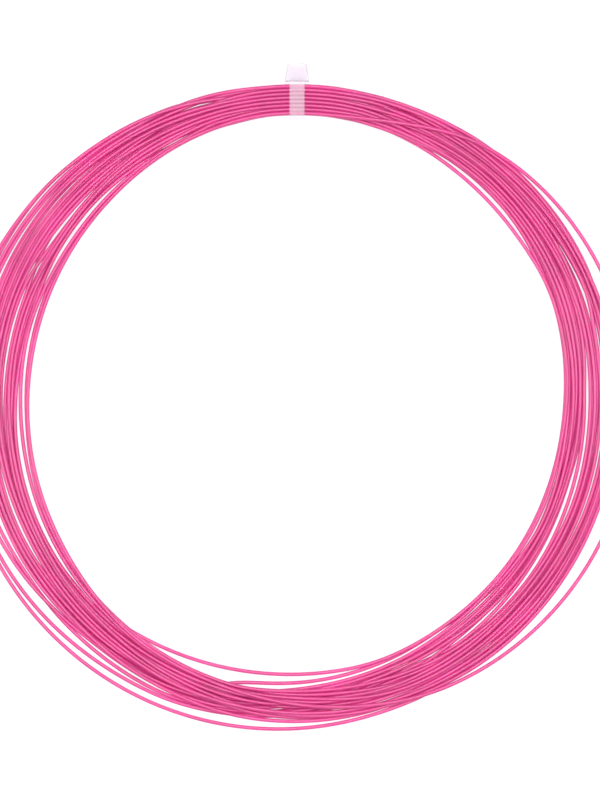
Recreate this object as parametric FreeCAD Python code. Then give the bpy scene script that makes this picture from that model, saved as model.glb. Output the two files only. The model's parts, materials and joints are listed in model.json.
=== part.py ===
import FreeCAD, Part
import math
import os

# Coil of fishing line bound with one cable tie. Millimetres, +Z up, lying flat on z = 0.
# The tie is at 12 o'clock (+Y). Angles run clockwise from the tie, as on a clock face.
# Shapes are made about the ring's centre and moved at the end, so that the origin is the
# middle of the whole part's footprint.

# The line and the bundle that the tie squeezes it into
line_diameter = 0.90
turn_radius = 72.6          # ring's centre to the middle of the bundle
strands_abreast = 8
layers = 3
strand_gap = 0.02           # between strands side by side in the bundle
bundle_half_angle = 7.0     # the bundle keeps one section this far each side of the tie

# How far the loosest turns stand out past the bundle's two edges: (angle, distance)
outer_spread = (
    (20, 0.6), (45, 1.8), (90, 3.8), (135, 2.6), (180, 1.5), (225, 3.8), (270, 3.8), (315, 3.0), (340, 1.2),
)
inner_spread = (
    (20, 0.8), (45, 3.2), (90, 6.0), (135, 6.7), (180, 5.1), (225, 3.9), (270, 5.4), (315, 3.6), (340, 1.2),
)

# The tie holds the bundle off the surface, and the turns come down to it over this length
ramp_length = 80.0
ramp_margin = 6.0           # level stretch between the ramp and the bundle
ramp_blend_radius = 400.0

# Cable tie
strap_width = 3.6
strap_thickness = 1.1
strap_edge_radius = 0.15
rail_width = 0.5            # plain rail along each edge of the toothed face
tooth_pitch = 1.0
tooth_depth = 0.35
tooth_land = 0.15
channel_depth = 0.12        # shallow channel between the rails, on the strap's plain face
channel_margin = 0.35       # from the channel's ends to the head and to the strap's bend
strap_clearance = 0.15      # strap to bundle, all round
tail_stub = 0.15            # what is left of the tail past the head

head_base_wall = 1.0        # beside the slot, at the bundle's end of the head
head_end_wall = 0.35        # beside the slot, at the head's outer end
head_depth = 4.2            # along the slot
head_gap = 0.7              # bundle to head
head_floor = 0.7            # wall under the slot
head_cap = 0.25             # head's top above the strap's
head_edge_radius = 0.35
slot_gap = 0.08             # above and below the strap
slot_side_gap = 0.10
slot_lead_in = 0.20

# Pawl
entry_wall = 0.7            # chamber's wall on the bundle's side, which holds the pawl's root
chamber_height = 2.4
pawl_side_gap = 0.15        # chamber to pawl, each side
pawl_rail_gap = 0.10        # rail to pawl, each side
pawl_root_radius = 0.35
pawl_running_gap = 0.03     # root in its socket
pawl_lip = 0.25             # wall between the socket and the slot
pawl_inset = 0.5            # tip's locking face to the head's outer end
pawl_thickness = 0.70
tooth_gap = 0.06            # pawl's teeth above the strap's slopes
tooth_backlash = 0.22       # pawl's locking faces to the strap's

# Worked out from the sizes above
strand_pitch = line_diameter + strand_gap
bundle_width = strands_abreast * strand_pitch
bundle_height = line_diameter + (layers - 1) * strand_pitch * math.sqrt(3) / 2
bundle_inner = turn_radius - bundle_width / 2
bundle_outer = turn_radius + bundle_width / 2
bundle_corner = line_diameter / 2

strap_bottom = head_floor + slot_gap
strap_lower_face = strap_bottom + strap_thickness
lift = strap_lower_face + strap_clearance
strap_upper_face = lift + bundle_height + strap_clearance
strap_top = strap_upper_face + strap_thickness
loop_inner = bundle_inner - strap_clearance
loop_corner = bundle_corner + strap_clearance

head_front = bundle_outer + head_gap
head_end = head_front + head_depth
head_height = strap_top + head_cap
tail_end = head_end + tail_stub
slot_width = strap_width + 2 * slot_side_gap
head_base_width = slot_width + 2 * head_base_wall
head_end_width = slot_width + 2 * head_end_wall

tooth_zone_width = strap_width - 2 * rail_width
pawl_width = tooth_zone_width - 2 * pawl_rail_gap
chamber_width = pawl_width + 2 * pawl_side_gap
chamber_floor = strap_lower_face + slot_gap
pivot_y = head_front + entry_wall
pivot_z = chamber_floor + pawl_lip + pawl_root_radius + pawl_running_gap
locking_face = head_end - pawl_inset

far = 2 * turn_radius
origin_x = (dict(outer_spread)[90] - dict(outer_spread)[270]) / 2
origin_y = (tail_end - bundle_outer - dict(outer_spread)[180]) / 2


def clock_point(radius, angle):
    """A point of the plan at a clock angle in degrees."""
    a = math.radians(angle)
    return FreeCAD.Vector(radius * math.sin(a), radius * math.cos(a), 0)


def clock_speed(radius, angle):
    """How far and which way a point of a circle goes for each degree clockwise."""
    a = math.radians(angle)
    return FreeCAD.Vector(math.cos(a), -math.sin(a), 0) * math.radians(radius)


def ring_outline(tie_radius, spread, side):
    """A closed plan curve: a true arc through the tie, and one smooth curve round the rest."""
    first = bundle_half_angle
    last = 360 - bundle_half_angle
    start = clock_point(tie_radius, first)
    end = clock_point(tie_radius, last)
    through_tie = Part.Arc(end, clock_point(tie_radius, 0), start)
    stations = [clock_point(tie_radius + side * distance, angle) for angle, distance in spread]
    round_ring = Part.BSplineCurve()
    round_ring.interpolate(
        Points=[start] + stations + [end],
        Parameters=[first] + [angle for angle, distance in spread] + [last],
        InitialTangent=clock_speed(tie_radius, first),
        FinalTangent=clock_speed(tie_radius, last),
        Scale=False,
    )
    return Part.Wire([through_tie.toShape(), round_ring.toShape()])


def rounded_profile(corners):
    """A closed outline in the YZ plane from (y, z, corner radius), as lines and tangent arcs."""
    ends = []
    for i, (y, z, radius) in enumerate(corners):
        corner = FreeCAD.Vector(0, y, z)
        back = FreeCAD.Vector(0, *corners[i - 1][:2]) - corner
        ahead = FreeCAD.Vector(0, *corners[(i + 1) % len(corners)][:2]) - corner
        if radius == 0:
            ends.append((corner, None, corner))
            continue
        half_turn = (math.pi - back.getAngle(ahead)) / 2
        back.normalize()
        ahead.normalize()
        reach = radius * math.tan(half_turn)
        bisector = back + ahead
        bisector.normalize()
        middle = corner + bisector * (radius / math.cos(half_turn) - radius)
        ends.append((corner + back * reach, middle, corner + ahead * reach))
    edges = []
    for i, (first, middle, last) in enumerate(ends):
        if middle is not None:
            edges.append(Part.Arc(first, middle, last).toShape())
        edges.append(Part.LineSegment(last, ends[(i + 1) % len(ends)][0]).toShape())
    return Part.Wire(edges)


def across(wire, width):
    """The YZ outline made solid, width wide and centred on x = 0."""
    solid = Part.Face(wire).extrude(FreeCAD.Vector(width, 0, 0))
    solid.translate(FreeCAD.Vector(-width / 2, 0, 0))
    return solid


def block(width, y0, y1, z0, z1):
    """A box centred on x = 0."""
    return Part.makeBox(width, y1 - y0, z1 - z0, FreeCAD.Vector(-width / 2, y0, z0))


def cross_pin(radius, width, y, z):
    """A cylinder along X, centred on x = 0."""
    return Part.makeCylinder(radius, width, FreeCAD.Vector(-width / 2, y, z), FreeCAD.Vector(1, 0, 0))


def ring_prism(tie_radius, spread, side):
    """An outline stood up as a prism that reaches past the coil's top and bottom."""
    prism = Part.Face(ring_outline(tie_radius, spread, side)).extrude(FreeCAD.Vector(0, 0, 2 * head_height))
    prism.translate(FreeCAD.Vector(0, 0, -head_height / 2))
    return prism


def make_line_coil():
    """The outer shape of all the turns, level on the surface and lifted where the tie is."""
    ring = ring_prism(bundle_outer, outer_spread, 1).cut(ring_prism(bundle_inner, inner_spread, -1))
    ramp_top = bundle_inner * math.cos(math.radians(bundle_half_angle)) - ramp_margin
    ramp_foot = ramp_top - ramp_length
    layer = rounded_profile([
        (-far, 0, 0),
        (ramp_foot, 0, ramp_blend_radius),
        (ramp_top, lift, ramp_blend_radius),
        (far, lift, 0),
        (far, lift + bundle_height, 0),
        (ramp_top, lift + bundle_height, ramp_blend_radius),
        (ramp_foot, bundle_height, ramp_blend_radius),
        (-far, bundle_height, 0),
    ])
    coil = ring.common(across(layer, 2 * far)).Solids[0]
    rims = [edge for edge in coil.Edges if not isinstance(edge.Curve, (Part.Line, Part.LineSegment))]
    return coil.makeFillet(bundle_corner, rims)


def tooth_notch(wall_y, face_z, along, into):
    """One notch of the strap: a locking face at wall_y and a slope that runs back from it."""
    slope = tooth_pitch - tooth_land
    notch = Part.makePolygon([
        FreeCAD.Vector(0, wall_y, face_z),
        FreeCAD.Vector(0, wall_y, face_z + into * tooth_depth),
        FreeCAD.Vector(0, wall_y - along * slope, face_z),
        FreeCAD.Vector(0, wall_y, face_z),
    ])
    return across(notch, tooth_zone_width)


def make_tie_strap():
    """The strap from the head, over, round and under the bundle, through the slot to its cut end."""
    outer_corner = loop_corner + strap_thickness
    loop_outer = loop_inner - strap_thickness
    strap = across(rounded_profile([
        (head_front, strap_upper_face, 0),
        (loop_inner, strap_upper_face, loop_corner),
        (loop_inner, strap_lower_face, loop_corner),
        (tail_end, strap_lower_face, 0),
        (tail_end, strap_bottom, 0),
        (loop_outer, strap_bottom, outer_corner),
        (loop_outer, strap_top, outer_corner),
        (head_front, strap_top, 0),
    ]), strap_width)
    ends = (head_front, tail_end)
    long_edges = []
    for edge in strap.Edges:
        box = edge.BoundBox
        at_an_end = box.YLength < 1e-6 and any(abs(box.YMax - y) < 1e-6 for y in ends)
        if box.XLength < 1e-6 and not at_an_end:
            long_edges.append(edge)
    strap = strap.makeFillet(strap_edge_radius, long_edges)
    notches = []
    straight_start = loop_inner + loop_corner
    wall = locking_face
    while wall - tooth_pitch > straight_start:
        notches.append(tooth_notch(wall, strap_lower_face, 1, -1))
        wall -= tooth_pitch
    wall = straight_start
    while wall + tooth_pitch < bundle_outer:
        notches.append(tooth_notch(wall, strap_upper_face, -1, 1))
        wall += tooth_pitch
    channel = block(
        tooth_zone_width,
        straight_start + channel_margin,
        head_front - channel_margin,
        strap_top - channel_depth,
        strap_top + channel_depth,
    )
    return strap.cut(Part.makeCompound(notches)).cut(channel).Solids[0]


def make_lead_in():
    """The flare at the slot's mouth, from the head's face to the slot's own section."""
    sections = []
    for y, grow in ((head_front, slot_lead_in), (head_front + slot_lead_in, 0)):
        x = slot_width / 2 + grow
        low = head_floor - grow
        high = chamber_floor + grow
        corners = ((-x, low), (x, low), (x, high), (-x, high), (-x, low))
        sections.append(Part.makePolygon([FreeCAD.Vector(a, y, b) for a, b in corners]))
    return Part.makeLoft(sections, True, True)


def make_tie_head():
    """The tapered box, with the slot, the pawl's chamber, its open window and its root's socket."""
    plan = Part.makePolygon([
        FreeCAD.Vector(-head_base_width / 2, head_front, 0),
        FreeCAD.Vector(head_base_width / 2, head_front, 0),
        FreeCAD.Vector(head_end_width / 2, head_end, 0),
        FreeCAD.Vector(-head_end_width / 2, head_end, 0),
        FreeCAD.Vector(-head_base_width / 2, head_front, 0),
    ])
    head = Part.Face(plan).extrude(FreeCAD.Vector(0, 0, head_height))
    rounded = [e for e in head.Edges if e.BoundBox.ZMax > 1e-6 and e.BoundBox.YMax > head_front + 1e-6]
    head = head.makeFillet(head_edge_radius, rounded)
    slot = block(slot_width, head_front, head_end, head_floor, chamber_floor)
    lead_in = make_lead_in()
    chamber = block(chamber_width, pivot_y, head_end, chamber_floor, chamber_floor + chamber_height)
    socket = cross_pin(pawl_root_radius + pawl_running_gap, chamber_width, pivot_y, pivot_z)
    return head.cut(slot).cut(lead_in).cut(chamber).cut(socket).Solids[0]


def make_tie_pawl():
    """The sprung tongue: a round root, an arm and two teeth resting in the strap's notches."""
    slope = tooth_pitch - tooth_land
    arm_bottom = strap_lower_face + tooth_gap
    tip = locking_face - tooth_backlash
    tooth_bottom = arm_bottom - tooth_depth * (slope - tooth_backlash) / slope
    arm_top = pivot_z + pawl_root_radius * 0.8
    outline = Part.makePolygon([
        FreeCAD.Vector(0, pivot_y, arm_top),
        FreeCAD.Vector(0, tip, arm_bottom + pawl_thickness),
        FreeCAD.Vector(0, tip, tooth_bottom),
        FreeCAD.Vector(0, tip - slope + tooth_backlash, arm_bottom),
        FreeCAD.Vector(0, tip - tooth_pitch, arm_bottom),
        FreeCAD.Vector(0, tip - tooth_pitch, tooth_bottom),
        FreeCAD.Vector(0, tip - tooth_pitch - slope + tooth_backlash, arm_bottom),
        FreeCAD.Vector(0, pivot_y, pivot_z - pawl_root_radius * 0.8),
        FreeCAD.Vector(0, pivot_y, arm_top),
    ])
    root = cross_pin(pawl_root_radius, pawl_width, pivot_y, pivot_z)
    return across(outline, pawl_width).fuse(root).removeSplitter().Solids[0]


def main():
    os.makedirs("parts", exist_ok=True)
    nodes = {
        "line_coil": make_line_coil(),
        "tie_head": make_tie_head(),
        "tie_strap": make_tie_strap(),
        "tie_pawl": make_tie_pawl(),
    }
    for name, shape in nodes.items():
        shape.translate(FreeCAD.Vector(-origin_x, -origin_y, 0))
        shape.exportStep(f"parts/{name}.step")
        box = shape.BoundBox
        print(f"{name}: valid {shape.isValid()}, solids {len(shape.Solids)}, volume {shape.Volume:.3f} mm3")
        print(f"  x {box.XMin:.2f} to {box.XMax:.2f}, y {box.YMin:.2f} to {box.YMax:.2f}, "
              f"z {box.ZMin:.2f} to {box.ZMax:.2f}")
    print(f"ring's centre: {-origin_x:.3f}, {-origin_y:.3f}")
    print(f"pawl's root: {-origin_x:.3f}, {pivot_y - origin_y:.3f}, {pivot_z:.3f}")


main()
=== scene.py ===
import json
import math

import bpy
import numpy as np
from bpy.props import FloatProperty, FloatVectorProperty, IntProperty, PointerProperty
from bpy.types import Operator, Panel, PropertyGroup
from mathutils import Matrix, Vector


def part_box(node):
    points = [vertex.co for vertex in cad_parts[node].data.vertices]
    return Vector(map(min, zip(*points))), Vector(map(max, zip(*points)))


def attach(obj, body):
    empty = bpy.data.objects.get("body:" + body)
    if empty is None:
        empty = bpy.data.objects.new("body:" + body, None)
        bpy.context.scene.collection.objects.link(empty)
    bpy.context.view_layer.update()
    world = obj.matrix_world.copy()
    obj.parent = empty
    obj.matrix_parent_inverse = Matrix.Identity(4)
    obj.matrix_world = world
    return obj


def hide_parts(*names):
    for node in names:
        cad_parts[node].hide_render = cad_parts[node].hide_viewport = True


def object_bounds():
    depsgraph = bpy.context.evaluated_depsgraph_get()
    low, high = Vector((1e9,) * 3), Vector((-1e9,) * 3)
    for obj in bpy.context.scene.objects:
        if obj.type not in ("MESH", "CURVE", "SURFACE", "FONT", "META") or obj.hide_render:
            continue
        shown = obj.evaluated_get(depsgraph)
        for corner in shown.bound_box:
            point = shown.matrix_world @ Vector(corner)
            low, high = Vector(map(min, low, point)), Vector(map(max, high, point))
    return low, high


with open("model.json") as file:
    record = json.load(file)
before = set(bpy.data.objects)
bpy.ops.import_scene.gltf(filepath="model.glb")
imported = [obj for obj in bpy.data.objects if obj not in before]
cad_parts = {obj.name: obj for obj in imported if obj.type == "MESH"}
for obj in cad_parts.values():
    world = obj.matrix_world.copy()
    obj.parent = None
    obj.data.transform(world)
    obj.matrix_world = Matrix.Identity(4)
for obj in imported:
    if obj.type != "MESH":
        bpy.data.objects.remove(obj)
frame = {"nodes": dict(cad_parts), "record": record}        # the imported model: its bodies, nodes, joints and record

bl_info = {
    "name": "Tied coil of fishing line",
    "version": (1, 0, 0),
    "blender": (4, 5, 0),
    "location": "View3D > Sidebar > Line coil",
    "description": "Lays the turns of a hand-wound coil of leader line and finishes its cable tie",
    "category": "Object",
}

CAD_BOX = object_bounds()
MM = 0.001

# The ring turns about the axis that the tie slides round.
TIE_JOINT = next(j for j in frame["record"]["behaviour"]["joints"] if j["name"] == "tie_slide")
RING_CENTRE = Vector(TIE_JOINT["pos_m"])

# How far the main band of turns spreads, in mm past the tied bundle's inner and outer edges, by clock
# angle from the tie. Past 255 degrees it takes in the turns that stood clear of it.
BAND_INNER = {
    0: 0, 10: 0, 20: 0.6, 30: 1.5, 50: 2.7, 70: 3.7, 80: 4.6, 90: 5.8, 105: 6.4, 140: 6.4, 160: 5.8,
    170: 4.3, 180: 3.1, 190: 2.0, 200: 1.5, 210: 1.9, 220: 2.8, 230: 3.8, 240: 4.4, 260: 5.1, 280: 5.3,
    300: 4.5, 320: 3.1, 330: 1.9, 340: 0.9, 350: 0.2, 360: 0,
}
BAND_OUTER = {
    0: 0, 12: -0.2, 25: -0.2, 35: 0.4, 45: 0.8, 55: 0.8, 70: 0.4, 110: 0.3, 120: 0, 150: 0, 180: -0.2,
    220: -0.2, 240: 0.1, 255: 0.6, 270: 1.6, 285: 2.7, 300: 4.2, 310: 3.3, 320: 2.4, 330: 1.4, 340: 0.7,
    350: 0.3, 360: 0,
}

# Long lens-shaped gaps in the band: from angle, to angle, turns inside the gap, radius in mm of its
# middle at each end, opening in mm
GAPS = (
    (28, 57, 1, 68.4, 66.4, 0.7),
    (64, 69, 14, 73.4, 73.4, 0.0),
    (74, 81, 15, 73.6, 73.2, 0.35),
    (86, 112, 10, 68.9, 69.3, 0.35),
    (97, 112, 16, 72.8, 72.6, 0.3),
    (104, 132, 9, 67.6, 68.5, 0.65),
    (112, 119, 2, 64.1, 64.1, 0.3),
    (135, 149, 8, 67.3, 68.2, 0.4),
    (146, 194, 2, 63.7, 68.2, 0.4),
    (202, 222, 20, 75.2, 75.1, 0.5),
    (237, 256, 13, 71.9, 72.2, 0.5),
    (231, 273, 3, 67.6, 66.4, 0.8),
    (264, 292, 2, 65.0, 65.8, 0.5),
    (270, 294, 9, 70.0, 70.3, 0.4),
    (296, 322, 3, 66.6, 67.8, 0.7),
    (303, 316, 9, 70.1, 70.3, 0.35),
    (297, 314, 21, 79.0, 78.4, 0.3),
    (300, 305, 19, 77.1, 76.9, 0.3),
    (310, 315, 16, 75.1, 74.8, 0.1),
    (333, 340, 4, 68.9, 69.4, 0.2),
)

# Turns that stand clear of the band: from angle, widest angle, to angle, lane counted from that
# edge, how far in mm
LOOSE_OUTSIDE = (
    (35, 95, 156, 1, 4.0), (163, 245, 302, 1, 4.6), (206, 248, 302, 2, 4.1), (229, 255, 302, 3, 3.3),
    (234, 258, 302, 4, 2.6),
)
LOOSE_INSIDE = ((163, 192, 219, 1, 2.9),)

# Each kind of turn: whether it starts in the inner half, and how far above the bed it starts to settle,
# in line diameters. Over-turns cross inwards on the far side above the under-turns, which cross outwards.
TURN_KINDS = {
    "first": (True, 3.4),
    "late": (True, 0.2),
    "rising": (True, 0.2),
    "under": (True, 0.3),
    "over": (False, 1.8),
    "outermost": (False, 1.0),
    "outer": (False, 1.0),
}
WINDING = ["first"] + ["under", "outermost", "over"] + ["under", "over"] * 2 + ["late", "over"]
WINDING += ["under", "over"] * 2 + ["under", "outer", "over", "rising", "over"] + ["under", "over"] * 2

# The slot under the tie that the line starts from, counted from the innermost, and how many places the
# other slots are mixed by, at most, in the order that the line visits them
FIRST_SLOT = 1
SLOT_MIX = 1.5

# Clock angle and lane, counted from the innermost, of the turns that go their own way between their
# slots. The first turn lies on top and crosses the whole band near the tie and again on the far side.
OWN_LANES = {
    "first": {
        18: 0, 22: 3, 27: 14, 30: 23, 32: 26, 152: 26, 160: 19, 170: 15, 190: 7.5, 205: 2, 225: 0, 300: 0,
    },
    "late": {40: 1.5, 110: -1, 214: -1, 238: 7, 300: 7},
    "rising": {40: 6, 150: 8, 206: 23, 330: 22},
    "outermost": {40: 21, 150: 21, 160: 26, 345: 26},
    "outer": {60: 19, 150: 20, 230: 20, 300: 20},
}

# Where strands keep their order, so that the gaps between them stay open: clock angle, and the angle
# whose order is kept there
CALM = {0: 0, 24: 40, 58: 40, 86: 118, 148: 118, 231: 276, 322: 276, 345: 330, 360: 360}

# The sheets of turns cross over on the far side. For each turn: the angles between which the middle of
# its crossing lies, the degrees that it takes, and how far it wanders from its lane, in lanes, and in
# how many half waves round the ring
CROSSING_MIDDLE = (182, 188)
CROSSING_SPAN = 80
WANDER = 1.8
WANDER_WAVES = (1, 2, 3, 5, 7)

# Degrees past a gap's ends over which the lanes close up again, and how blunt its ends are: at 1 it is
# a half sine, and less is blunter
GAP_REACH = 8
GAP_BLUNTNESS = 0.6

# Smoothing of the band's edges and of the lanes, in points of the line
BAND_SOFTNESS = 1.5
LANE_SOFTNESS = 2

# The bundle is lifted over the strap's lower run, on a long slope up from the surface. Past the bundle's
# half angle, in degrees, the strands leave their slots over the release angle.
BUNDLE_LIFT = 2.03 * MM
BUNDLE_HALF_ANGLE = 6.9
RELEASE_ANGLE = 14
RAMP_LENGTH = 80 * MM
RAMP_TOP = 62.4 * MM

# The turns' random start above the bed, in line diameters, so that no two start level
START_SCATTER = 0.8

# How the turns settle in each round: how far they sink, and then, as shares, the pull to their lanes,
# the pull of the gaps' walls, the line's tension and stiffness, and the push between strands that touch,
# which is shared out over at least so many contacts
SINK = 0.02 * MM
LANE_PULL = 0.06
WALL_PULL = 0.5
TENSION = 0.10
STIFFNESS = 0.9 / 16
PUSH = 0.75
FEWEST_CONTACTS = 1.5

# Passes of pushing apart in each round
PASSES = 2

# Space kept between the middles of two strands, in line diameters
STRAND_SPACING = 1.005

# The line's two ends meet under the strap with a hair's gap, in degrees, between them.
END_GAP = 0.04

# The channel in the strap's outer face and the low ribs in it, the first one a little inside the
# bundle's outer edge
CHANNEL_DEPTH = 0.12 * MM
RIB_LENGTH = 2.58 * MM
RIB_HEIGHT = 0.09 * MM
RIB_START = 0.2 * MM

# How much of what lies behind it a face of the milky nylon hides, and how much light passes inside it:
# the tie's thick head and pawl, its thin strap, and the low ribs on the strap
HEAD_NYLON = (0.5, 0.5)
STRAP_NYLON = (0.17, 0.0)
RIB_NYLON = (0.07, 0.0)

# Half the surface's side in m, the studio's even light, and its softboxes: name, place in m, size in m
# and power in W
FLOOR_HALF = 3.0
STUDIO_LIGHT = 0.3
SOFTBOXES = (
    ("softbox_above", (0.0, 0.15, 1.1), 0.9, 14.0),
    ("softbox_left", (-0.9, -0.2, 0.7), 0.6, 5.0),
    ("softbox_right", (0.9, 0.1, 0.7), 0.6, 4.4),
)

# The camera stands a little off the ring's centre. Its sensor's height is in mm.
CAMERA_OFFSET = Vector((0.7 * MM, 1.2 * MM))
SENSOR_HEIGHT = 24.0


def linear(hex_colour):
    """An sRGB hex colour as linear red, green and blue."""
    values = [int(hex_colour[i:i + 2], 16) / 255 for i in (1, 3, 5)]
    return tuple(v / 12.92 if v <= 0.04045 else ((v + 0.055) / 1.055) ** 2.4 for v in values)


class LINECOIL_PG_line(PropertyGroup):
    diameter: FloatProperty(
        name="Diameter", description="Thickness of the line", default=0.90 * MM, unit="LENGTH"
    )
    strand_gap: FloatProperty(
        name="Strand gap", description="Space between strands under the tie", default=0.02 * MM,
        unit="LENGTH",
    )
    turn_radius: FloatProperty(
        name="Turn radius", description="Ring's centre to the middle of the bundle", default=72.6 * MM,
        unit="LENGTH",
    )
    abreast: IntProperty(
        name="Strands abreast", description="Strands side by side under the tie", default=8, min=3
    )
    stations: IntProperty(
        name="Points per turn", description="Points of the line for each turn", default=120, min=24
    )
    rounds: IntProperty(
        name="Settling rounds", description="Rounds in which the turns settle", default=400, min=1
    )
    seed: IntProperty(
        name="Seed", description="Chooses how the turns wander across the band", default=7
    )
    colour: FloatVectorProperty(
        name="Colour", description="Dye of the line", subtype="COLOR", size=3, default=linear("#EF4C9E")
    )


class LINECOIL_PG_tie(PropertyGroup):
    rib_count: IntProperty(
        name="Ribs", description="Ribs across the strap's outer face", default=7, min=1
    )
    rib_pitch: FloatProperty(
        name="Rib pitch", description="Spacing of the ribs", default=1.0 * MM, unit="LENGTH"
    )
    rib_width: FloatProperty(
        name="Rib width", description="Width of each rib", default=0.68 * MM, unit="LENGTH"
    )
    colour: FloatVectorProperty(
        name="Colour", description="Natural nylon", subtype="COLOR", size=3, default=linear("#F3E9F5")
    )


class LINECOIL_PG_stage(PropertyGroup):
    camera_height: FloatProperty(
        name="Camera height", description="Camera above the surface", default=1.2, unit="LENGTH"
    )
    field_height: FloatProperty(
        name="Field height", description="What the camera takes in from top to bottom", default=0.1907,
        unit="LENGTH",
    )
    floor_colour: FloatVectorProperty(
        name="Surface", description="Colour of the surface below", subtype="COLOR", size=3,
        default=linear("#F6F6F8"),
    )


def add_node(tree, kind, values=None, links=None, **settings):
    """Add a node with its settings, its sockets' values and its incoming links."""
    node = tree.nodes.new(kind)
    for name, value in settings.items():
        setattr(node, name, value)
    for name, value in (values or {}).items():
        node.inputs[name].default_value = value
    for name, socket in (links or {}).items():
        tree.links.new(socket, node.inputs[name])
    return node


def new_material(name):
    """An empty material and its node tree."""
    material = bpy.data.materials.new(name)
    material.use_nodes = True
    material.node_tree.nodes.clear()
    return material, material.node_tree


def mix_colours(tree, factor, first, second):
    """Blend two linear colours by a factor socket. The mix node's colour sockets are its 6th and 7th."""
    mix = add_node(
        tree, "ShaderNodeMix", {6: (*first, 1), 7: (*second, 1)}, {"Factor": factor}, data_type="RGBA"
    )
    return mix.outputs[2]


def dyed_nylon_line(colour):
    """Extruded translucent nylon leader line: bright dye that glows a little, under a satin skin."""
    material, tree = new_material("dyed_nylon_monofilament")
    place = add_node(tree, "ShaderNodeTexCoord")
    # The dye is paler and deeper over about 9 mm of line.
    drift = add_node(
        tree, "ShaderNodeTexNoise", {"Scale": 1 / (9 * MM), "Detail": 3.0},
        {"Vector": place.outputs["Object"]},
    )
    deep = [c * 0.8 for c in colour]
    pale = [min(1, c * 1.2) for c in colour]
    tint = mix_colours(tree, drift.outputs["Fac"], deep, pale)
    shader = add_node(
        tree, "ShaderNodeBsdfPrincipled",
        {"IOR": 1.53, "Roughness": 0.3, "Transmission Weight": 0.48},
        {"Base Color": tint},
    )
    add_node(tree, "ShaderNodeOutputMaterial", links={"Surface": shader.outputs["BSDF"]})
    return material


def natural_nylon(colour, cover, clear):
    """Injection-moulded natural nylon 66: milky and satin, hiding less where the wall is thin."""
    material, tree = new_material("moulded_natural_nylon")
    place = add_node(tree, "ShaderNodeTexCoord")
    # Faint clouds, about 2.5 mm across, left where the melt flowed into the mould.
    cloud = add_node(
        tree, "ShaderNodeTexNoise", {"Scale": 1 / (2.5 * MM), "Detail": 2.0},
        {"Vector": place.outputs["Object"]},
    )
    milk = mix_colours(tree, cloud.outputs["Fac"], [c * 0.94 for c in colour], colour)
    shader = add_node(
        tree, "ShaderNodeBsdfPrincipled",
        {"IOR": 1.53, "Roughness": 0.45, "Alpha": cover, "Transmission Weight": clear},
        {"Base Color": milk},
    )
    add_node(tree, "ShaderNodeOutputMaterial", links={"Surface": shader.outputs["BSDF"]})
    return material


def light_table(colour):
    """Matt opal acrylic of a light table: evenly lit from below, so that hardly a shadow shows on it."""
    material, tree = new_material("opal_acrylic_light_table")
    # Most of its white is its own light, so it gives back little of the lamps'.
    shader = add_node(
        tree, "ShaderNodeBsdfPrincipled",
        {"Base Color": (*(c * 0.2 for c in colour), 1), "Roughness": 0.75, "Specular IOR Level": 0.2,
         "Emission Color": (*colour, 1), "Emission Strength": 0.9},
    )
    add_node(tree, "ShaderNodeOutputMaterial", links={"Surface": shader.outputs["BSDF"]})
    return material


def round_ring(table, angles):
    """A table of clock angle to mm, read at the given angles and smoothed round the ring, in metres."""
    values = np.interp(angles, list(table), list(table.values()))
    waves = np.fft.fftfreq(len(values))
    soft = np.exp(-0.5 * (waves * (2 * BAND_SOFTNESS) * math.pi) ** 2)
    return np.real(np.fft.ifft(np.fft.fft(values) * soft)) * MM


def swell(angles, start, peak, end):
    """Rises from nothing at start to one at the peak, and falls to nothing at end."""
    rise = np.clip((angles - start) / (peak - start), 0, 1)
    fall = np.clip((end - angles) / (end - peak), 0, 1)
    return np.sin(math.pi / 2 * np.minimum(rise, fall))


def ease(values):
    """From 0 to 1 with level ends."""
    along = np.clip(values, 0, 1)
    return along * along * (3 - 2 * along)


def gap_walls(line, gap, angles):
    """How far out the strands inside a gap may lie, and how far in those outside it."""
    start, end, _, first, last, opening = gap
    along = np.clip((angles - start) / (end - start), 0, 1)
    middle = (first + (last - first) * along) * MM
    half = opening / 2 * MM * np.sin(math.pi * along) ** GAP_BLUNTNESS + line.diameter / 2
    return middle - half, middle + half


def lane_radii(line, turns, angles):
    """The radius of each lane, innermost first, at each angle."""
    half_bundle = line.abreast * (line.diameter + line.strand_gap) / 2
    inner = line.turn_radius - half_bundle - round_ring(BAND_INNER, angles) + line.diameter / 2
    outer = line.turn_radius + half_bundle + round_ring(BAND_OUTER, angles) - line.diameter / 2
    lanes = np.arange(turns)
    radii = np.zeros((turns, len(angles)))
    for k, angle in enumerate(angles):
        marks = {0: inner[k], turns - 1: outer[k]}
        even = inner[k] + (outer[k] - inner[k]) * lanes / (turns - 1)
        for gap in GAPS:
            start, end, inside = gap[:3]
            away = max(start - angle, angle - end, 0)
            weight = 1 - ease(away / min(GAP_REACH, (end - start) / 2))
            if weight > 0:
                low, high = gap_walls(line, gap, angle)
                marks[inside - 1] = even[inside - 1] + (low - even[inside - 1]) * weight
                marks[inside] = even[inside] + (high - even[inside]) * weight
        known = sorted(marks)
        radii[:, k] = np.interp(lanes, known, [marks[lane] for lane in known])
    for start, peak, end, lane, distance in LOOSE_OUTSIDE:
        radii[turns - lane] += distance * MM * swell(angles, start, peak, end)
    for start, peak, end, lane, distance in LOOSE_INSIDE:
        radii[lane - 1] -= distance * MM * swell(angles, start, peak, end)
    return radii


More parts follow.
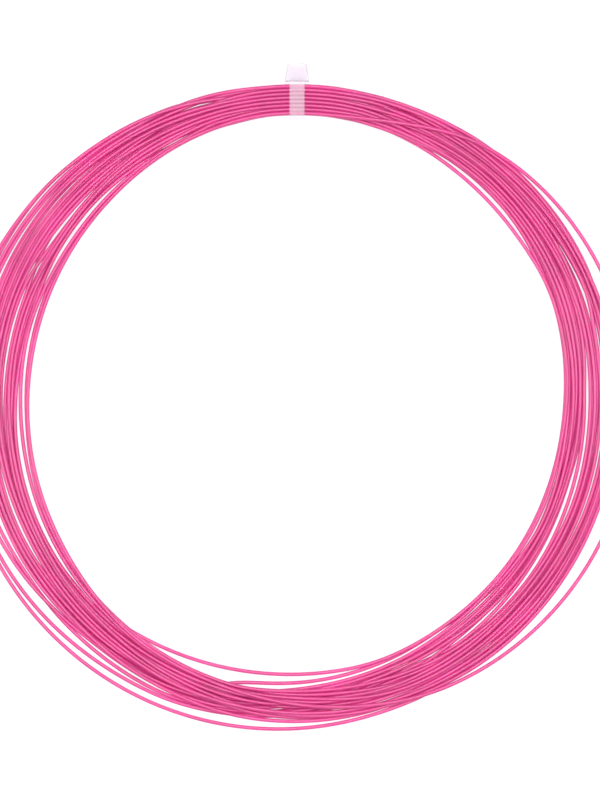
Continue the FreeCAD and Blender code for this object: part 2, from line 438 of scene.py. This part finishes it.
def tie_slots(line):
    """Radius and height of each strand's place in the bundle, innermost first: rows of 8, 7 and 8."""
    pitch = line.diameter + line.strand_gap
    inner = line.turn_radius - line.abreast * pitch / 2 + pitch / 2
    lowest = BUNDLE_LIFT + line.diameter / 2
    row = pitch * math.sqrt(3) / 2
    slots = []
    for column in range(line.abreast):
        slots.append((inner + column * pitch, lowest))
        slots.append((inner + column * pitch, lowest + 2 * row))
        if column < line.abreast - 1:
            slots.append((inner + (column + 0.5) * pitch, lowest + row))
    return np.array(slots)


def bed_height(line, angles):
    """How high the surface, or the lifted bundle's underside, is below the turns."""
    y = line.turn_radius * np.cos(np.radians(angles))
    return BUNDLE_LIFT * np.clip((y - RAMP_TOP + RAMP_LENGTH) / RAMP_LENGTH, 0, 1)


def out_and_back(places, chance):
    """Every place once: out by every other one and back by the rest, a little mixed."""
    walk = np.array(places[::2] + places[1::2][::-1])
    return list(walk[np.argsort(np.arange(len(walk)) + chance.uniform(-SLOT_MIX, SLOT_MIX, len(walk)))])


def winding_order(chance):
    """The slots in the order that the line visits them."""
    half = sum(TURN_KINDS[kind][0] for kind in WINDING)
    inner = [FIRST_SLOT] + out_and_back([slot for slot in range(half) if slot != FIRST_SLOT], chance)
    outer = out_and_back(list(range(half, len(WINDING))), chance)
    return np.array([(inner if TURN_KINDS[kind][0] else outer).pop(0) for kind in WINDING])


def turn_lanes(order, angles, chance):
    """The lane of each turn: from its own slot to the next turn's, crossing over on the far side."""
    calm = np.interp(angles, list(CALM), list(CALM.values()))
    lanes = []
    for kind, start, end in zip(WINDING, order, np.roll(order, -1)):
        if kind in OWN_LANES:
            table = {0: start, **OWN_LANES[kind], 360: end}
            lanes.append(np.interp(angles, list(table), list(table.values())))
            continue
        middle = chance.uniform(*CROSSING_MIDDLE)
        lane = start + (end - start) * ease(0.5 + (angles - middle) / CROSSING_SPAN)
        for wave in WANDER_WAVES:
            reach = chance.uniform(-1, 1) * WANDER / math.sqrt(wave)
            lane = lane + reach * np.sin(math.pi * wave * calm / 360) * np.sin(math.pi * calm / 360)
        lanes.append(lane)
    return np.array(lanes)


def soften(values, reach):
    """Smooth a row of values with a bell of the given reach in points."""
    offsets = np.arange(-3 * reach, 3 * reach + 1)
    bell = np.exp(-0.5 * (offsets / reach) ** 2)
    padded = np.pad(values, 3 * reach, mode="edge")
    return np.convolve(padded, bell / bell.sum(), "valid")


def stiffen(path):
    """Ease the bends of the whole line, point by point."""
    flat = path.reshape(-1)
    pull = np.zeros_like(flat)
    pull[1:-1] = TENSION * (0.5 * (flat[:-2] + flat[2:]) - flat[1:-1])
    pull[2:-2] -= STIFFNESS * (flat[:-4] - 4 * flat[1:-3] + 6 * flat[2:-2] - 4 * flat[3:-1] + flat[4:])
    path += pull.reshape(path.shape)


def part_strands(radius, height, pairs, spacing):
    """Push apart each pair of strands that are closer than one spacing, at every station."""
    first, second = pairs
    across = radius[first] - radius[second]
    up = height[first] - height[second]
    distance = np.sqrt(across ** 2 + up ** 2) + 1e-12
    push = np.clip(spacing - distance, 0, None)
    touching = (push > 0).astype(float)
    contacts = np.zeros_like(radius)
    np.add.at(contacts, first, touching)
    np.add.at(contacts, second, touching)
    share = PUSH / np.maximum(contacts, FEWEST_CONTACTS)
    for path, part in ((radius, push * across / distance), (height, push * up / distance)):
        move = np.zeros_like(path)
        np.add.at(move, first, part)
        np.add.at(move, second, -part)
        path += move * share


def gap_limits(line, rank, angles):
    """The least and greatest radius that the band and its gaps leave each strand at each station."""
    lanes = lane_radii(line, len(rank), angles)
    least = np.repeat(lanes.min(axis=0)[None, :], len(rank), axis=0)
    greatest = np.repeat(lanes.max(axis=0)[None, :], len(rank), axis=0)
    for gap in GAPS:
        start, end, inside = gap[:3]
        within = (angles >= start) & (angles <= end)
        low, high = gap_walls(line, gap, angles)
        centre = np.argmin(np.abs(angles - (start + end) / 2))
        for strand, place in enumerate(rank[:, centre]):
            if place < inside:
                greatest[strand, within] = np.minimum(greatest[strand, within], low[within])
            else:
                least[strand, within] = np.maximum(least[strand, within], high[within])
    return least, greatest


def settle_turns(line):
    """Lay every turn in its lane and let them all settle: radius and height at each station."""
    chance = np.random.RandomState(line.seed)
    slots = tie_slots(line)
    turns = len(slots)
    stations = line.stations
    angles = np.arange(stations) * 360.0 / stations
    order = winding_order(chance)
    after = np.roll(order, -1)
    lanes = turn_lanes(order, angles, chance)
    rank = np.argsort(np.argsort(lanes, axis=0, kind="stable"), axis=0, kind="stable")
    target = np.take_along_axis(lane_radii(line, turns, angles), rank, axis=0)
    target = soften(target.reshape(-1), LANE_SOFTNESS).reshape(turns, stations)
    least, greatest = gap_limits(line, rank, angles)

    first_half = angles < 180
    held_radius = np.where(first_half, slots[order][:, :1], slots[after][:, :1])
    held_height = np.where(first_half, slots[order][:, 1:], slots[after][:, 1:])
    from_tie = np.minimum(angles, 360 - angles)
    held = from_tie <= BUNDLE_HALF_ANGLE
    free = ease((from_tie - BUNDLE_HALF_ANGLE) / RELEASE_ANGLE)
    target = held_radius * (1 - free) + target * free
    bed = bed_height(line, angles) + line.diameter / 2
    starts = np.array([TURN_KINDS[kind][1] for kind in WINDING])
    rise = line.diameter * (starts + chance.uniform(0, START_SCATTER, turns))
    height = held_height * (1 - free) + (bed + rise[:, None]) * free
    radius = target.copy()
    pairs = np.triu_indices(turns, 1)
    for step in range(line.rounds):
        left = 1 - step / line.rounds
        height -= SINK * left
        radius += LANE_PULL * left * (target - radius)
        stiffen(radius)
        stiffen(height)
        for _ in range(PASSES):
            radius[:, held] = held_radius[:, held]
            height[:, held] = held_height[:, held]
            radius += WALL_PULL * (np.clip(radius, least, greatest) - radius)
            part_strands(radius, height, pairs, line.diameter * STRAND_SPACING)
            height = np.maximum(height, bed)
    radius[:, held] = held_radius[:, held]
    height[:, held] = held_height[:, held]
    return angles, radius, height


def line_points(line):
    """The line's own points, turn after turn, from under the tie and back under it."""
    angles, radius, height = settle_turns(line)
    turns = len(radius)
    whole = (angles[None, :] + 360.0 * np.arange(turns)[:, None]).reshape(-1)
    flat_radius = np.append(radius.reshape(-1), radius[0, 0])
    flat_height = np.append(height.reshape(-1), height[0, 0])
    whole = np.append(whole, 360.0 * turns)
    whole[0] += END_GAP
    whole[-1] -= END_GAP
    clock = np.radians(whole)
    x = RING_CENTRE.x + flat_radius * np.sin(clock)
    y = RING_CENTRE.y + flat_radius * np.cos(clock)
    return np.stack([x, y, flat_height], axis=1)


class LINECOIL_OT_line(Operator):
    """Wind, settle and finish the whole length of line"""
    bl_idname = "linecoil.line"
    bl_label = "Lay the line"

    def execute(self, context):
        line = context.scene.linecoil_line
        points = line_points(line)
        curve = bpy.data.curves.new("leader_line", "CURVE")
        curve.dimensions = "3D"
        spline = curve.splines.new("NURBS")
        spline.points.add(len(points) - 1)
        spline.points.foreach_set("co", np.hstack([points, np.ones((len(points), 1))]).reshape(-1))
        spline.order_u = 3
        spline.use_endpoint_u = True
        spline.resolution_u = 2
        curve.bevel_depth = line.diameter / 2
        curve.bevel_resolution = 4
        curve.use_fill_caps = True
        piece = bpy.data.objects.new("leader_line", curve)
        context.collection.objects.link(piece)
        curve.materials.append(dyed_nylon_line(line.colour))
        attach(piece, "coil")
        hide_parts("line_coil")
        return {"FINISHED"}


def rib_tree():
    """Geometry nodes: a row of low flat ribs across the strap."""
    tree = bpy.data.node_groups.new("strap_ribs", "GeometryNodeTree")
    tree.is_modifier = True
    sockets = {}
    for name, kind in (("Count", "Int"), ("First", "Vector"), ("Step", "Vector"), ("Size", "Vector"),
                       ("Material", "Material")):
        socket = tree.interface.new_socket(name, in_out="INPUT", socket_type=f"NodeSocket{kind}")
        sockets[name] = socket.identifier
    tree.interface.new_socket("Geometry", in_out="OUTPUT", socket_type="NodeSocketGeometry")
    given = add_node(tree, "NodeGroupInput")
    row = add_node(
        tree, "GeometryNodeMeshLine",
        links={
            "Count": given.outputs["Count"], "Start Location": given.outputs["First"],
            "Offset": given.outputs["Step"],
        },
        mode="OFFSET",
    )
    rib = add_node(tree, "GeometryNodeMeshCube", links={"Size": given.outputs["Size"]})
    ribs = add_node(
        tree, "GeometryNodeInstanceOnPoints",
        links={"Points": row.outputs["Mesh"], "Instance": rib.outputs["Mesh"]},
    )
    real = add_node(tree, "GeometryNodeRealizeInstances", links={"Geometry": ribs.outputs["Instances"]})
    coated = add_node(
        tree, "GeometryNodeSetMaterial",
        links={"Geometry": real.outputs["Geometry"], "Material": given.outputs["Material"]},
    )
    add_node(tree, "NodeGroupOutput", links={"Geometry": coated.outputs["Geometry"]})
    return tree, sockets


def from_nodes(context, name, tree, sockets, values):
    """Run a geometry nodes tree once and keep its result as a plain mesh object."""
    maker = bpy.data.objects.new(f"{name}_maker", bpy.data.meshes.new(f"{name}_maker"))
    context.collection.objects.link(maker)
    modifier = maker.modifiers.new("Make", "NODES")
    modifier.node_group = tree
    for key, value in values.items():
        modifier[sockets[key]] = value
    graph = context.evaluated_depsgraph_get()
    mesh = bpy.data.meshes.new_from_object(maker.evaluated_get(graph))
    bpy.data.objects.remove(maker)
    mesh.name = name
    piece = bpy.data.objects.new(name, mesh)
    context.collection.objects.link(piece)
    return piece


class LINECOIL_OT_tie(Operator):
    """Finish the cable tie's moulding and add the ribs of its strap"""
    bl_idname = "linecoil.tie"
    bl_label = "Finish the cable tie"

    def execute(self, context):
        tie = context.scene.linecoil_tie
        line = context.scene.linecoil_line
        head_nylon = natural_nylon(tie.colour, *HEAD_NYLON)
        strap_nylon = natural_nylon(tie.colour, *STRAP_NYLON)
        for node, nylon in (("tie_head", head_nylon), ("tie_pawl", head_nylon), ("tie_strap", strap_nylon)):
            for slot in frame["nodes"][node].material_slots:
                slot.material = nylon
        bundle = line.abreast * (line.diameter + line.strand_gap)
        outer = RING_CENTRE.y + line.turn_radius + bundle / 2
        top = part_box("tie_strap")[1][2]
        first = Vector((RING_CENTRE.x, outer - RIB_START, top - CHANNEL_DEPTH))
        tree, sockets = rib_tree()
        ribs = from_nodes(context, "strap_ribs", tree, sockets, {
            "Count": tie.rib_count, "First": first, "Step": Vector((0, -tie.rib_pitch, 0)),
            "Size": Vector((RIB_LENGTH, tie.rib_width, 2 * RIB_HEIGHT)),
            "Material": natural_nylon(tie.colour, *RIB_NYLON),
        })
        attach(ribs, "tie")
        return {"FINISHED"}


class LINECOIL_OT_stage(Operator):
    """Set the white surface, the soft lights and the overhead camera"""
    bl_idname = "linecoil.stage"
    bl_label = "Set the stage"

    def execute(self, context):
        stage = context.scene.linecoil_stage
        self.make_floor(context, stage)
        self.make_lights(context)
        self.make_camera(context, stage)
        context.scene.view_settings.view_transform = "Standard"
        return {"FINISHED"}

    def make_floor(self, context, stage):
        half = FLOOR_HALF
        mesh = bpy.data.meshes.new("surface")
        corners = [(-half, -half, 0), (half, -half, 0), (half, half, 0), (-half, half, 0)]
        mesh.from_pydata(corners, [], [(0, 1, 2, 3)])
        mesh.materials.append(light_table(stage.floor_colour))
        floor = bpy.data.objects.new("surface", mesh)
        floor.location.z = CAD_BOX[0][2]
        context.collection.objects.link(floor)

    def make_lights(self, context):
        world = bpy.data.worlds.new("studio")
        world.use_nodes = True
        background = world.node_tree.nodes["Background"]
        background.inputs["Color"].default_value = (1, 1, 1, 1)
        background.inputs["Strength"].default_value = STUDIO_LIGHT
        context.scene.world = world
        for name, place, size, power in SOFTBOXES:
            lamp = bpy.data.lights.new(name, "AREA")
            lamp.size = size
            lamp.energy = power
            light = bpy.data.objects.new(name, lamp)
            light.location = place
            light.rotation_euler = (-Vector(place)).to_track_quat("-Z", "Y").to_euler()
            context.collection.objects.link(light)

    def make_camera(self, context, stage):
        lens = bpy.data.cameras.new("camera")
        lens.sensor_fit = "VERTICAL"
        lens.sensor_height = SENSOR_HEIGHT
        lens.lens = SENSOR_HEIGHT * stage.camera_height / stage.field_height
        camera = bpy.data.objects.new("camera", lens)
        place = RING_CENTRE.xy + CAMERA_OFFSET
        camera.location = (place.x, place.y, stage.camera_height)
        context.collection.objects.link(camera)
        context.scene.camera = camera


class LINECOIL_PT_panel(Panel):
    """Lists the coil's parts in the sidebar"""
    bl_label = "Line coil"
    bl_idname = "LINECOIL_PT_panel"
    bl_space_type = "VIEW_3D"
    bl_region_type = "UI"
    bl_category = "Line coil"

    def draw(self, context):
        layout = self.layout
        for group, operator in (("linecoil_line", "linecoil.line"), ("linecoil_tie", "linecoil.tie"),
                                ("linecoil_stage", "linecoil.stage")):
            settings = getattr(context.scene, group)
            box = layout.box()
            for name in settings.__annotations__:
                box.prop(settings, name)
            box.operator(operator)


CLASSES = (
    LINECOIL_PG_line, LINECOIL_PG_tie, LINECOIL_PG_stage,
    LINECOIL_OT_line, LINECOIL_OT_tie, LINECOIL_OT_stage, LINECOIL_PT_panel,
)


def register():
    for cls in CLASSES:
        bpy.utils.register_class(cls)
    bpy.types.Scene.linecoil_line = PointerProperty(type=LINECOIL_PG_line)
    bpy.types.Scene.linecoil_tie = PointerProperty(type=LINECOIL_PG_tie)
    bpy.types.Scene.linecoil_stage = PointerProperty(type=LINECOIL_PG_stage)


def unregister():
    del bpy.types.Scene.linecoil_line
    del bpy.types.Scene.linecoil_tie
    del bpy.types.Scene.linecoil_stage
    for cls in reversed(CLASSES):
        bpy.utils.unregister_class(cls)


def main():
    register()
    bpy.ops.linecoil.line()
    bpy.ops.linecoil.tie()
    bpy.ops.linecoil.stage()


if __name__ == "__main__":
    main()
